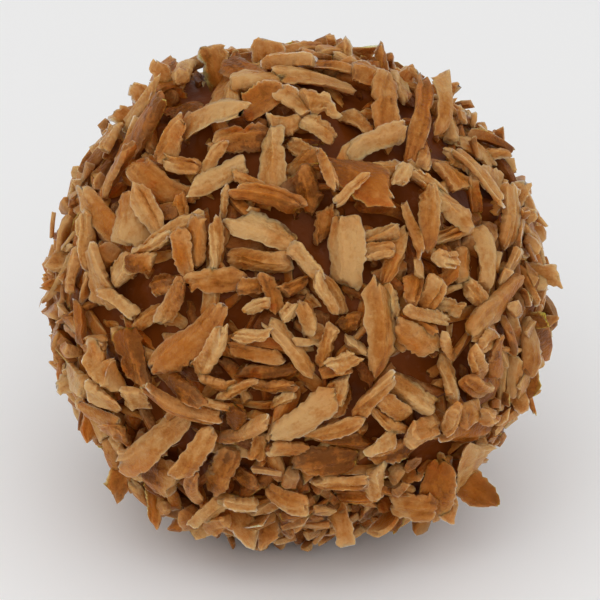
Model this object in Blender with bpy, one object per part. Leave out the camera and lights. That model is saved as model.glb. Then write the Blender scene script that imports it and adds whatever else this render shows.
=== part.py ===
"""A chocolate truffle rolled in toasted coconut, as one solid out to the coat's uneven outline.

The solid is the chocolate ball with the coconut pressed flat into it, and on that the proud flakes:
a few hundred thin slabs lie all round at slightly different heights and slopes, and a few named
ones stand out from the rim. All are joined to the ball, and the ball is cut flat where it stands.

Frame: millimetres in the constants, metres in the model. +Z is up, the origin is the centre of the
flat foot, and the front is towards -Y.
"""
import math
import random
from typing import NamedTuple

import bmesh
import bpy
from mathutils import Matrix, Vector

MM = 0.001

# The ball, mm
BALL_RADIUS = 15.0          # the chocolate
BED_HEIGHT = 0.45           # coconut pressed flat into the chocolate, all round
CENTRE_HEIGHT = 14.75       # the ball's centre above the foot
BALL_SUBDIVISIONS = 3

# The proud flakes, mm and degrees
FLAKE_COUNT = 230
FLAKE_LENGTH = (2.6, 4.6)
FLAKE_WIDTH = (1.0, 2.1)
FLAKE_RISE = (0.25, 0.95)   # how far a flake's top stands over the bed
FLAKE_SLOPE = 11.0
ROOT_DEPTH = 1.6            # how deep a flake's foot is sunk below the bed
LATTICE_JITTER = 0.055      # as a share of the ball's radius
SEED = 11

# A rim flake's slab, mm
RIM_THICKNESS = 0.55
RIM_ROOT = 1.3              # length of it that is sunk in the coat

FRONT_ELEVATION = 30.0      # degrees above the ground, where the front view looks from


class Lump(NamedTuple):
    """A broad rise or hollow of the ball, placed as seen from the front."""

    across: float           # share of the radius, to the right
    up: float               # share of the radius, upwards
    height: float           # mm, negative for a hollow
    spread: float           # radians on the ball


LUMPS = (
    Lump(-0.60, -0.76, 0.85, 0.22),     # lower left shoulder
    Lump(0.52, -0.83, 0.95, 0.18),      # lower right shoulder
    Lump(0.20, -0.97, -0.70, 0.26),     # hollow between the shoulders
    Lump(-0.47, 0.87, 0.55, 0.22),      # upper left shoulder
    Lump(-0.92, 0.35, -0.50, 0.24),     # flat left side
)


class RimFlake(NamedTuple):
    """A flake that stands out from the outline seen from the front."""

    angle: float            # degrees round the outline, anticlockwise from the right
    toward: float           # degrees that its root lies towards the viewer
    lean: float             # degrees from standing straight out, positive anticlockwise
    length: float           # mm, its whole length
    width: float            # mm at the root
    tip: float              # width at the tip as a share of the root's


RIM_FLAKES = (
    RimFlake(2.0, 12.0, 8.0, 3.0, 1.7, 0.75),
    RimFlake(-7.0, 20.0, -30.0, 2.9, 1.2, 0.15),
    RimFlake(-22.0, 18.0, -28.0, 3.4, 1.3, 0.20),
    RimFlake(-49.0, 14.0, -12.0, 3.4, 1.6, 0.10),
    RimFlake(-80.0, 24.0, -8.0, 3.6, 1.4, 0.45),
    RimFlake(-103.0, 22.0, 38.0, 3.4, 1.7, 0.50),
    RimFlake(-128.0, 12.0, 24.0, 2.8, 1.3, 0.30),
    RimFlake(-149.0, 22.0, 30.0, 3.1, 1.2, 0.15),
    RimFlake(171.0, 16.0, -20.0, 2.8, 1.3, 0.40),
    RimFlake(141.0, 16.0, -34.0, 3.0, 1.4, 0.25),
    RimFlake(126.0, 14.0, 6.0, 3.0, 1.2, 0.15),
    RimFlake(110.0, 18.0, 12.0, 3.1, 1.6, 0.60),
    RimFlake(78.0, 10.0, -6.0, 2.8, 1.0, 0.20),
    RimFlake(66.0, 12.0, 14.0, 2.9, 1.0, 0.15),
    RimFlake(53.0, 16.0, -52.0, 3.7, 1.1, 0.45),
)


def front_view() -> Matrix:
    """Turns the front view's axes (right, up, towards the viewer) into world axes."""
    tilt = math.radians(FRONT_ELEVATION)
    right = Vector((1.0, 0.0, 0.0))
    up = Vector((0.0, math.sin(tilt), math.cos(tilt)))
    return Matrix((right, up, right.cross(up))).transposed()


def seen_at(across: float, up: float) -> Vector:
    """The direction from the ball's centre of a point seen in the front view."""
    toward = math.sqrt(max(0.0, 1.0 - across * across - up * up))
    return (front_view() @ Vector((across, up, toward))).normalized()


def bed_radius(direction: Vector) -> float:
    """Radius of the pressed coat in mm, with the ball's broad lumps."""
    radius = BALL_RADIUS + BED_HEIGHT
    for lump in LUMPS:
        apart = direction.angle(seen_at(lump.across, lump.up))
        radius += lump.height * math.exp(-((apart / lump.spread) ** 2))
    return radius


def tangent_frame(direction: Vector, turn: float) -> Matrix:
    """Axes of a flake on the ball: length, width and outward, with its length turned in place."""
    side = Vector((0.0, 0.0, 1.0)) if abs(direction.z) < 0.9 else Vector((1.0, 0.0, 0.0))
    first = side.cross(direction).normalized()
    second = direction.cross(first)
    length = first * math.cos(turn) + second * math.sin(turn)
    return Matrix((length, direction.cross(length), direction)).transposed()


def add_slab(bm: bmesh.types.BMesh, outline: list[Vector], place: Matrix, depth: float,
             root_share: float) -> None:
    """Adds a closed slab under an outline in its own XY plane, its underside scaled by root_share."""
    top = bm.faces.new([bm.verts.new(point) for point in outline])
    grown = bmesh.ops.extrude_face_region(bm, geom=[top], use_keep_orig=True)["geom"]
    lower = [item for item in grown if isinstance(item, bmesh.types.BMVert)]
    bmesh.ops.scale(bm, vec=(root_share, root_share, 1.0), verts=lower)
    bmesh.ops.translate(bm, vec=(0.0, 0.0, -depth), verts=lower)
    bmesh.ops.transform(bm, matrix=place, verts=lower + list(top.verts))


def flake_outline(rng: random.Random, length: float, width: float) -> list[Vector]:
    """A long, uneven outline of five or six corners, pointed or cut off at its ends."""
    corners = rng.choice((5, 6, 6))
    start = rng.uniform(-0.35, 0.35)
    points = []
    for index in range(corners):
        angle = start + math.tau * (index + rng.uniform(-0.16, 0.16)) / corners
        reach = rng.uniform(0.86, 1.0)
        points.append(Vector((0.5 * length * reach * math.cos(angle),
                              0.5 * width * reach * math.sin(angle), 0.0)))
    return points


def lattice_direction(index: int, count: int, rng: random.Random) -> Vector:
    """One of a number of directions spread evenly over the ball, moved a little at random."""
    height = 1.0 - 2.0 * (index + 0.5) / count
    reach = math.sqrt(1.0 - height * height)
    angle = index * math.pi * (3.0 - math.sqrt(5.0))
    spread = Vector([rng.gauss(0.0, LATTICE_JITTER) for _ in range(3)])
    return (Vector((reach * math.cos(angle), reach * math.sin(angle), height)) + spread).normalized()


def add_lying_flakes(bm: bmesh.types.BMesh, centre: Vector) -> None:
    """Lays the proud flakes all round the ball, each sunk into it by its foot."""
    rng = random.Random(SEED)
    for index in range(FLAKE_COUNT):
        direction = lattice_direction(index, FLAKE_COUNT, rng)
        frame = tangent_frame(direction, rng.uniform(0.0, math.tau))
        slope = Matrix.Rotation(math.radians(rng.uniform(-FLAKE_SLOPE, FLAKE_SLOPE)), 3, "Y")
        top = bed_radius(direction) + rng.uniform(*FLAKE_RISE)
        place = (frame @ slope).to_4x4()
        place.translation = centre + direction * top * MM
        outline = flake_outline(rng, rng.uniform(*FLAKE_LENGTH), rng.uniform(*FLAKE_WIDTH))
        depth = (FLAKE_RISE[1] + ROOT_DEPTH) * MM
        add_slab(bm, [point * MM for point in outline], place, depth, 1.0 - depth / (BALL_RADIUS * MM))


def add_rim_flake(bm: bmesh.types.BMesh, centre: Vector, flake: RimFlake) -> None:
    """Stands one tapered slab on the outline, its face towards the viewer."""
    view = front_view()
    around = math.radians(flake.angle)
    rim = view @ Vector((math.cos(around), math.sin(around), 0.0))
    toward = view.col[2]
    direction = rim * math.cos(math.radians(flake.toward)) + toward * math.sin(math.radians(flake.toward))
    out = Matrix.Rotation(math.radians(flake.lean), 3, toward) @ rim
    place = Matrix((out, toward.cross(out), toward)).transposed().to_4x4()
    place.translation = centre + direction * bed_radius(direction) * MM
    reach = flake.length - RIM_ROOT
    half = 0.5 * flake.width
    corners = ((-RIM_ROOT, -half), (0.45 * reach, -half), (reach, -half * flake.tip),
               (reach, half * flake.tip), (0.45 * reach, half), (-RIM_ROOT, half))
    outline = [Vector((along, across, 0.5 * RIM_THICKNESS)) * MM for along, across in corners]
    add_slab(bm, outline, place, RIM_THICKNESS * MM, 1.0)


def make_material(name: str, colour: tuple[float, float, float], roughness: float) -> bpy.types.Material:
    """A plain Principled material."""
    material = bpy.data.materials.new(name)
    material.use_nodes = True
    shader = material.node_tree.nodes["Principled BSDF"]
    shader.inputs["Base Color"].default_value = (*colour, 1.0)
    shader.inputs["Roughness"].default_value = roughness
    shader.inputs["Metallic"].default_value = 0.0
    return material


def add_object(name: str, bm: bmesh.types.BMesh, material: bpy.types.Material) -> bpy.types.Object:
    """Turns a bmesh into a linked object with one material."""
    bmesh.ops.recalc_face_normals(bm, faces=bm.faces)
    mesh = bpy.data.meshes.new(name)
    bm.to_mesh(mesh)
    bm.free()
    mesh.materials.append(material)
    obj = bpy.data.objects.new(name, mesh)
    bpy.context.collection.objects.link(obj)
    return obj


def make_ball(material: bpy.types.Material, centre: Vector) -> bpy.types.Object:
    """The chocolate ball with its pressed coat and broad lumps."""
    bm = bmesh.new()
    bmesh.ops.create_icosphere(bm, subdivisions=BALL_SUBDIVISIONS, radius=1.0)
    for vert in bm.verts:
        direction = vert.co.normalized()
        vert.co = centre + direction * bed_radius(direction) * MM
    return add_object("truffle", bm, material)


def make_flakes(material: bpy.types.Material, centre: Vector) -> bpy.types.Object:
    """All proud flakes in one helper, for the union with the ball."""
    bm = bmesh.new()
    add_lying_flakes(bm, centre)
    for flake in RIM_FLAKES:
        add_rim_flake(bm, centre, flake)
    return add_object("flake_helper", bm, material)


def make_ground(material: bpy.types.Material) -> bpy.types.Object:
    """The block under the foot that everything below z = 0 is cut away with."""
    size = 4.0 * BALL_RADIUS * MM
    bm = bmesh.new()
    bmesh.ops.create_cube(bm, size=size, matrix=Matrix.Translation((0.0, 0.0, -0.5 * size)))
    return add_object("ground_helper", bm, material)


def add_boolean(target: bpy.types.Object, helper: bpy.types.Object, operation: str) -> None:
    """Joins a hidden helper to the target or cuts it away."""
    helper.hide_render = True
    helper.display_type = "WIRE"
    modifier = target.modifiers.new(helper.name, "BOOLEAN")
    modifier.operation = operation
    modifier.solver = "EXACT"
    modifier.use_self = operation == "UNION"
    modifier.material_mode = "TRANSFER"
    modifier.object = helper


def main() -> None:
    """Builds the truffle."""
    for obj in list(bpy.data.objects):
        bpy.data.objects.remove(obj)
    centre = Vector((0.0, 0.0, CENTRE_HEIGHT * MM))
    chocolate = make_material("milk_chocolate", (0.12, 0.05, 0.03), 0.4)
    coconut = make_material("toasted_coconut", (0.45, 0.22, 0.08), 0.6)
    truffle = make_ball(chocolate, centre)
    add_boolean(truffle, make_flakes(coconut, centre), "UNION")
    add_boolean(truffle, make_ground(chocolate), "DIFFERENCE")


main()
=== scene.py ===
"""Looks of a chocolate truffle rolled in chopped toasted coconut.

A chocolate ball carries a coat of real coconut pieces, laid one by one on a map of the coat's
height, so that each rests on what lies under it. A pressed layer comes first, then the large
flakes of the front and the rim, each in its own place, and then smaller cuts that fill the gaps.

Lengths are in millimetres until a mesh is written, in the CAD's frame: +Z up, front towards -Y.
"""
import logging
import math
from dataclasses import dataclass, field
from enum import Enum
from typing import Any, Iterable, NamedTuple, Sequence

import bmesh
import bpy
import numpy as np
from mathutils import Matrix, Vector, kdtree, noise


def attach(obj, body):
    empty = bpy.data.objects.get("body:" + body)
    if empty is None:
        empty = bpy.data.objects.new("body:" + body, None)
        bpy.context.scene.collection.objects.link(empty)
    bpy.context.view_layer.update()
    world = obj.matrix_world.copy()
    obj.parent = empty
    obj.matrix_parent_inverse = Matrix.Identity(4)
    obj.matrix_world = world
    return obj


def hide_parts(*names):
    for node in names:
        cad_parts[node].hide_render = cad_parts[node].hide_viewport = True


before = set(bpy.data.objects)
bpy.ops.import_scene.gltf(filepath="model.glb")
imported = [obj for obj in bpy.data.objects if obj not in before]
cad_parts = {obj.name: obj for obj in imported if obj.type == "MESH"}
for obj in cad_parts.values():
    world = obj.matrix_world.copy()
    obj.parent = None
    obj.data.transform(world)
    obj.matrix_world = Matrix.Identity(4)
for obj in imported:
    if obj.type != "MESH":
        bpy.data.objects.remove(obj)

LOG = logging.getLogger("truffle")
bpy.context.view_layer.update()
CAD_NODE = "truffle"
BODY = "root"
MM = 0.001

Colour = tuple[float, float, float]


# ---------------------------------------------------------------- shader tools

class Signal:
    """A shader socket that Python arithmetic adds Math nodes to."""

    def __init__(self, shader: "Shader", socket: bpy.types.NodeSocket) -> None:
        """Wraps one output socket.

        Args:
            shader: The material that the socket belongs to.
            socket: The output socket.
        """
        self.shader = shader
        self.socket = socket

    def _math(self, operation: str, first: "Signal | float", second: "Signal | float") -> "Signal":
        """Adds one Math node.

        Args:
            operation: The node's operation.
            first: Its first value.
            second: Its second value.

        Returns:
            The node's result.
        """
        node = self.shader.node("ShaderNodeMath", {"operation": operation}, {0: first, 1: second})
        return Signal(self.shader, node.outputs[0])

    def __add__(self, other: "Signal | float") -> "Signal":
        """self + other."""
        return self._math("ADD", self, other)

    __radd__ = __add__

    def __mul__(self, other: "Signal | float") -> "Signal":
        """self * other."""
        return self._math("MULTIPLY", self, other)

    __rmul__ = __mul__

    def __sub__(self, other: "Signal | float") -> "Signal":
        """self - other."""
        return self._math("SUBTRACT", self, other)

    def __rsub__(self, other: float) -> "Signal":
        """other - self."""
        return self._math("SUBTRACT", other, self)

    def clipped(self) -> "Signal":
        """The value held between 0 and 1."""
        node = self.shader.node("ShaderNodeClamp", {}, {"Value": self})
        return Signal(self.shader, node.outputs[0])


class Shader:
    """A material under construction, with one Principled shader."""

    def __init__(self, name: str) -> None:
        """Makes the material.

        Args:
            name: The material's name.
        """
        self.material = bpy.data.materials.new(name)
        self.material.use_nodes = True
        self.tree = self.material.node_tree
        self.principled = self.tree.nodes["Principled BSDF"]

    def feed(self, socket: bpy.types.NodeSocket, value: Any) -> None:
        """Sets a socket's value, or links a signal to it.

        Args:
            socket: The input socket.
            value: A number, a colour, a vector or a Signal.
        """
        if isinstance(value, Signal):
            self.tree.links.new(value.socket, socket)
        elif isinstance(value, tuple) and len(value) == 3 and socket.type == "RGBA":
            socket.default_value = (*value, 1.0)
        else:
            socket.default_value = value

    def node(self, kind: str, settings: dict[str, Any], inputs: dict[Any, Any]) -> bpy.types.Node:
        """Adds a node.

        Args:
            kind: The node's type.
            settings: Properties set first; "stops" fills a colour ramp.
            inputs: Values or signals by socket name or number.

        Returns:
            The new node.
        """
        node = self.tree.nodes.new(kind)
        for key, value in settings.items():
            if key == "stops":
                ramp = node.color_ramp
                while len(ramp.elements) < len(value):
                    ramp.elements.new(0.5)
                for element, (place, colour) in zip(ramp.elements, value):
                    element.position = place
                    element.color = (*colour, 1.0)
            else:
                setattr(node, key, value)
        for key, value in inputs.items():
            self.feed(node.inputs[key], value)
        return node

    def signal(self, kind: str, settings: dict[str, Any], inputs: dict[Any, Any],
               output: str | int = 0) -> Signal:
        """Adds a node and wraps one of its outputs.

        Args:
            kind: The node's type.
            settings: As for node().
            inputs: As for node().
            output: The output's name or number.

        Returns:
            The output as a Signal.
        """
        return Signal(self, self.node(kind, settings, inputs).outputs[output])

    def blend(self, amount: Signal | float, first: Any, second: Any, mode: str = "MIX") -> Signal:
        """Mixes two colours.

        Args:
            amount: 0 for the first colour, 1 for the second.
            first: A colour or a Signal.
            second: A colour or a Signal.
            mode: The Mix node's blend type.

        Returns:
            The mixed colour.
        """
        settings = {"data_type": "RGBA", "blend_type": mode}
        return self.signal("ShaderNodeMix", settings, {0: amount, 6: first, 7: second}, 2)

    def attribute(self, name: str, output: str) -> Signal:
        """Reads a mesh attribute.

        Args:
            name: The attribute's name.
            output: "Fac" for a number, "Vector" for a vector.

        Returns:
            The attribute's value.
        """
        return self.signal("ShaderNodeAttribute", {"attribute_name": name}, {}, output)

    def noise(self, place: Signal, scale: float, detail: float = 2.0, roughness: float = 0.5) -> Signal:
        """Noise from 0 to 1.

        Args:
            place: Where to read it.
            scale: Its fineness.
            detail: How many finer layers it has.
            roughness: How strong those are.

        Returns:
            The noise value.
        """
        inputs = {"Vector": place, "Scale": scale, "Detail": detail, "Roughness": roughness}
        return self.signal("ShaderNodeTexNoise", {}, inputs)

    def finish(self, **sockets: Any) -> bpy.types.Material:
        """Sets the Principled shader's sockets, with _ in a keyword for a space.

        Args:
            **sockets: Values or signals.

        Returns:
            The finished material.
        """
        for key, value in sockets.items():
            self.feed(self.principled.inputs[key.replace("_", " ")], value)
        return self.material


def paint(red: int, green: int, blue: int) -> Colour:
    """Turns a display colour of 0 to 255 into a linear one.

    Args:
        red: Red.
        green: Green.
        blue: Blue.

    Returns:
        The linear colour.
    """
    def linear(value: int) -> float:
        """One channel, linear."""
        share = value / 255.0
        return share / 12.92 if share <= 0.04045 else ((share + 0.055) / 1.055) ** 2.4
    return linear(red), linear(green), linear(blue)


# ---------------------------------------------------------------- finishes

@dataclass(frozen=True)
class CoconutFinish:
    """Toasted coconut: pale to golden and orange-brown, with fibres along each piece."""

    pale: Colour = paint(192, 151, 98)
    tan: Colour = paint(180, 129, 73)
    golden: Colour = paint(168, 109, 48)
    orange: Colour = paint(151, 89, 30)
    brown: Colour = paint(112, 62, 18)
    toasted: Colour = paint(171, 98, 26)
    # pale edges of the cuts, partly their own paler colour and partly a painted highlight along each rim
    rim: Colour = paint(190, 151, 101)
    cocoa: Colour = paint(104, 52, 15)
    # painted shade deep in the coat, partly a chocolate stain: a tint that darkens and reddens what lies low
    buried_stain_and_shade: Colour = (1.0, 0.70, 0.36)        # what is left of each channel low in the coat
    fibre_depth: float = 0.00025

    def build(self) -> bpy.types.Material:
        """Makes the material, which reads each flake's grain, look and edge attributes."""
        shader = Shader("toasted_coconut")
        grain = shader.attribute("grain", "Vector")
        look = shader.node("ShaderNodeSeparateXYZ", {}, {0: shader.attribute("look", "Vector")})
        tone, toast, cocoa = (Signal(shader, output) for output in look.outputs)
        edge = shader.attribute("edge", "Fac")
        fibres = shader.noise(grain, 1.0, 3.0, 0.55)
        place = shader.signal("ShaderNodeTexCoord", {}, {}, "Object")
        mottle = shader.noise(place, 1100.0, 3.0, 0.6)
        pores_and_glint_specks = shader.noise(place, 4200.0, 2.0, 0.6)
        # the fine pores noise also speckles the tone, standing in for small glints as painted highlights
        shade = (tone + (fibres - 0.5) * 0.7 + (mottle - 0.5) * 1.2 + (pores_and_glint_specks - 0.5) * 0.6).clipped()
        stops = ((0.0, self.pale), (0.28, self.tan), (0.52, self.golden), (0.78, self.orange),
                 (1.0, self.brown))
        body = shader.signal("ShaderNodeValToRGB", {"stops": stops}, {0: shade})
        # paler towards each piece's rim: partly the cut's own pale edge, partly a painted highlight
        rim_paled_and_highlit = shader.blend((edge * (0.3 + mottle) * (1.15 - tone)).clipped(), body, self.rim)
        patch = (toast * (0.6 + fibres * 0.9)).clipped()
        browned = shader.blend(patch, rim_paled_and_highlit, self.toasted)
        # painted shade: pieces darken and redden the deeper they lie under the coat's top, partly a chocolate stain
        stained_and_shaded = shader.blend((shader.attribute("depth", "Fac") * (0.7 + mottle * 0.6)).clipped(), browned,
                             self.buried_stain_and_shade, "MULTIPLY")
        smear = (cocoa * (0.35 + mottle * 1.3)).clipped()
        colour = shader.blend(smear, stained_and_shaded, self.cocoa)
        bump = shader.signal("ShaderNodeBump", {}, {"Strength": 1.0, "Distance": self.fibre_depth,
                                                    "Height": fibres * 0.5 + mottle * 0.8 + pores_and_glint_specks * 0.35})
        return shader.finish(Base_Color=colour, Roughness=(0.54 - mottle * 0.4), Normal=bump,
                             Specular_IOR_Level=0.16, Specular_Tint=(1.0, 0.72, 0.45, 1.0),
                             Subsurface_Weight=0.9, Subsurface_Radius=(0.86, 0.78, 0.70),
                             Subsurface_Scale=0.0009)


@dataclass(frozen=True)
class ChocolateFinish:
    """Milk chocolate with purple-grey patches of painted sheen in place of soft highlights, satin where it was
    smeared by rolling.
    """

    dark: Colour = paint(92, 42, 8)
    milk: Colour = paint(112, 53, 14)
    painted_sheen: Colour = paint(122, 76, 56)
    smear_depth: float = 0.0004

    def build(self) -> bpy.types.Material:
        """Makes the material."""
        shader = Shader("milk_chocolate")
        place = shader.signal("ShaderNodeTexCoord", {}, {}, "Object")
        smears = shader.noise(place, 320.0, 4.0, 0.55)
        sheen_speckle = shader.noise(place, 1300.0, 3.0, 0.6)
        body = shader.blend(((smears - 0.32) * 2.4).clipped(), self.dark, self.milk)
        # painted highlight: purple-grey sheen patches laid on by noise
        colour = shader.blend(((sheen_speckle - 0.58) * 3.0).clipped(), body, self.painted_sheen)
        bump = shader.signal("ShaderNodeBump", {}, {"Strength": 0.6, "Distance": self.smear_depth,
                                                    "Height": smears + sheen_speckle * 0.25})
        return shader.finish(Base_Color=colour, Roughness=(0.2 + smears * 0.3), Normal=bump,
                             Specular_IOR_Level=0.10, Specular_Tint=(1.0, 0.62, 0.45, 1.0))


@dataclass(frozen=True)
class FloorFinish:
    """A matt white sweep."""

    white: Colour = (0.93, 0.93, 0.93)

    def build(self) -> bpy.types.Material:
        """Makes the material."""
        return Shader("white_sweep").finish(Base_Color=self.white, Roughness=0.95,
                                            Specular_IOR_Level=0.1)


# ---------------------------------------------------------------- shape of the ball

class Lump(NamedTuple):
    """A broad rise or hollow of the ball, placed as seen from the front."""

    across: float
    up: float
    height: float
    spread: float


@dataclass(frozen=True)
class Ball:
    """The chocolate under the coat, in mm."""

    radius: float = 13.9
    centre_height: float = 14.75
    front_elevation: float = 30.0
    waviness: float = 0.10
    roughness: float = 0.16
    creep: float = 0.75             # how far chocolate wells up the pressed pieces
    creep_neighbours: int = 7
    foot_gap: float = 0.02
    subdivisions: int = 6
    lumps: tuple[Lump, ...] = (
        Lump(-0.60, -0.76, 0.85, 0.22),
        Lump(0.52, -0.83, 0.95, 0.18),
        Lump(0.20, -0.97, -0.70, 0.26),
        Lump(-0.47, 0.87, 0.55, 0.22),
        Lump(-0.92, 0.35, -0.50, 0.24),
    )

    def front(self) -> np.ndarray:
        """Rows: right, up and towards the viewer, of the front view, in world axes."""
        tilt = math.radians(self.front_elevation)
        return np.array([[1.0, 0.0, 0.0], [0.0, math.sin(tilt), math.cos(tilt)],
                         [0.0, -math.cos(tilt), math.sin(tilt)]])

    def seen_at(self, across: float, up: float) -> np.ndarray:
        """Finds the direction from the centre of a point seen from the front.

        Args:
            across: Share of the radius to the right.
            up: Share of the radius upwards.

        Returns:
            A unit vector.
        """
        toward = math.sqrt(max(0.0, 1.0 - across * across - up * up))
        return unit(np.array([across, up, toward]) @ self.front())

    def radii(self, directions: np.ndarray) -> np.ndarray:
        """Gives the chocolate's radius in each direction.

        Args:
            directions: Unit vectors, one a row.

        Returns:
            Radii in mm.
        """
        x, y, z = directions.T
        wave = np.sin(7.0 * x + 3.0 * z + 0.5) * np.sin(6.0 * y - 4.0 * z + 1.0)
        total = self.radius + self.waviness * wave
        for lump in self.lumps:
            apart = np.arccos(np.clip(along(directions, self.seen_at(lump.across, lump.up)), -1, 1))
            total = total + lump.height * np.exp(-((apart / lump.spread) ** 2))
        return total

    def build(self, finish: bpy.types.Material, bed: "Bed") -> bpy.types.Object:
        """Makes the chocolate, welled up between the pressed pieces and flat where it stands.

        Args:
            finish: The chocolate's finish.
            bed: The coat's height after pressing.

        Returns:
            The ball's object.
        """
        tree = kdtree.KDTree(bed.LATTICE)
        for number, way in enumerate(bed.directions):
            tree.insert(way, number)
        tree.balance()
        bm = bmesh.new()
        bmesh.ops.create_icosphere(bm, subdivisions=self.subdivisions, radius=1.0)
        directions = np.array([vert.co for vert in bm.verts])
        directions /= np.linalg.norm(directions, axis=1)[:, None]
        near = np.array([[found[1] for found in tree.find_n(way, self.creep_neighbours)]
                         for way in directions])
        welled = (bed.pressed_tops - bed.bare)[near].mean(axis=1)
        coarse = np.array([noise.noise(Vector(way) * 8.0) for way in directions])
        relief = np.array([noise.fractal(Vector(way) * 16.0, 0.7, 2.1, 4) for way in directions])
        radii = self.radii(directions) + welled * (self.creep + 0.35 * coarse) + self.roughness * relief
        places = directions * radii[:, None] + [0.0, 0.0, self.centre_height]
        places[:, 2] = np.maximum(places[:, 2], self.foot_gap)
        for vert, place in zip(bm.verts, places * MM):
            vert.co = place
        mesh = bpy.data.meshes.new("chocolate_ball")
        bm.to_mesh(mesh)
        bm.free()
        mesh.shade_smooth()
        return add_piece("chocolate_ball", mesh, finish)


# ---------------------------------------------------------------- small vector helpers

def unit(vector: np.ndarray) -> np.ndarray:
    """The vector at length 1."""
    return vector / math.sqrt(float((vector * vector).sum()))


def along(points: np.ndarray, axis: np.ndarray) -> np.ndarray:
    """Each row's reach along an axis, summed in a fixed order."""
    return points[:, 0] * axis[0] + points[:, 1] * axis[1] + points[:, 2] * axis[2]


def add_piece(name: str, mesh: bpy.types.Mesh, finish: bpy.types.Material) -> bpy.types.Object:
    """Links a piece and says what it rides on, replaces and is made of.

    Args:
        name: The piece's name.
        mesh: Its mesh, with its place in it.
        finish: Its material.

    Returns:
        The piece.
    """
    mesh.materials.append(finish)
    piece = bpy.data.objects.new(name, mesh)
    bpy.context.scene.collection.objects.link(piece)
    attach(piece, BODY)
    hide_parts(CAD_NODE)
    LOG.info("%s: %d faces", name, len(mesh.polygons))
    return piece


# ---------------------------------------------------------------- kinds of coconut pieces

@dataclass(frozen=True)
class Rule:
    """How one kind of piece is cut, in mm; ranges are drawn from evenly."""

    length: tuple[float, float]
    width: tuple[float, float]
    thickness: tuple[float, float]
    tips: tuple[float, float]       # width at an end as a share of the middle's
    shoulder: tuple[float, float]   # where the taper starts, as a share of the half length
    slant: float                    # how far an end is cut askew, as a share of the width
    wave: float                     # unevenness of the sides
    fray: float                     # how far the fibres' ends differ, as a share of the half length
    bow: float                      # rise of the middle over the ends, as a share of the length
    twist: float                    # radians either way


class Cut(Enum):
    """The kinds of coconut pieces."""

    SLIVER = Rule((2.1, 4.6), (0.66, 1.25), (0.42, 0.78), (0.30, 1.05), (0.45, 0.95), 0.8, 0.12, 0.12, 0.06, 0.5)
    CHIP = Rule((2.1, 3.8), (1.20, 1.95), (0.34, 0.60), (0.40, 1.05), (0.45, 0.90), 0.45, 0.12, 0.12, 0.08, 0.4)
    CHUNK = Rule((1.2, 2.4), (0.95, 1.55), (0.55, 1.00), (0.55, 1.00), (0.50, 0.90), 0.7, 0.11, 0.09, 0.03, 0.3)
    SHRED = Rule((2.0, 4.8), (0.40, 0.75), (0.30, 0.52), (0.25, 0.95), (0.40, 0.92), 0.7, 0.20, 0.14, 0.09, 0.9)
    CRUMB = Rule((0.6, 2.0), (0.35, 0.90), (0.28, 0.60), (0.40, 1.00), (0.50, 0.90), 0.6, 0.15, 0.08, 0.0, 0.4)


class Tone(Enum):
    """How far a piece is toasted: its place on the scale from pale to brown."""

    PALE = 0.02
    TAN = 0.26
    GOLDEN = 0.50
    ORANGE = 0.76
    BROWN = 1.0


@dataclass
class Flake:
    """One placed piece: middle and axes in mm round the ball's centre."""

    cut: Cut
    middle: np.ndarray
    axes: np.ndarray                # rows: length, width, outward
    size: tuple[float, float, float]
    tone: float
    toast: float = 0.0              # strength of its toasted patch
    cocoa: float = 0.0              # how much chocolate is smeared on it
    tips: tuple[float, float] | None = None
    large: bool = False


# ---------------------------------------------------------------- laying the coat

class Rest(NamedTuple):
    """How a piece would lie on the bed."""

    base: float                     # height of its underside from the centre, mm
    pitch: float                    # slope along it
    roll: float                     # slope across it
    hides: float                    # share of its footprint on what stays in sight, bare places weighted


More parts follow.
